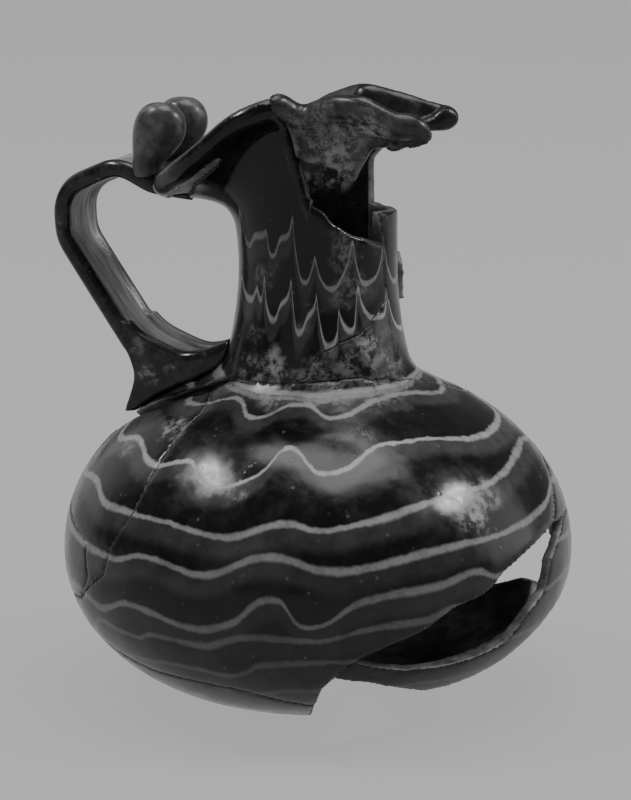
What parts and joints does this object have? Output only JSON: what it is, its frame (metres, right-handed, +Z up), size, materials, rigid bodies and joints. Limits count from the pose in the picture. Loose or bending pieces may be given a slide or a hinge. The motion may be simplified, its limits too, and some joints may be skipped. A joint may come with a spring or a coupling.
{
  "type": "oinochoe jug",
  "caption": "Small one-handled pouring jug with a round body, narrow neck and three-lobed mouth, mended from sherds with open breaks.",
  "frame": {"origin": "centre of the flat base, on the surface that the jug stands on", "axes": "+Z up along the vessel's axis, +X towards the spout, the handle on the -X side"},
  "size_m": [0.0848, 0.0804, 0.096],
  "materials": {
    "dark_glass": "gloss"
  },
  "bodies": {
    "root": {"neck_front_sherd": "dark_glass", "neck_right_sherd": "dark_glass", "neck_back_sherd": "dark_glass", "neck_chip": "dark_glass", "mouth_front_sherd": "dark_glass", "mouth_back_sherd": "dark_glass", "body_front_sherd": "dark_glass", "body_left_sherd": "dark_glass", "body_back_left_sherd": "dark_glass", "body_back_sherd": "dark_glass", "body_right_sherd": "dark_glass", "lower_right_sherd": "dark_glass", "base_sherd": "dark_glass", "handle": "dark_glass", "thumb_rest": "dark_glass"}
  },
  "joints": []
}
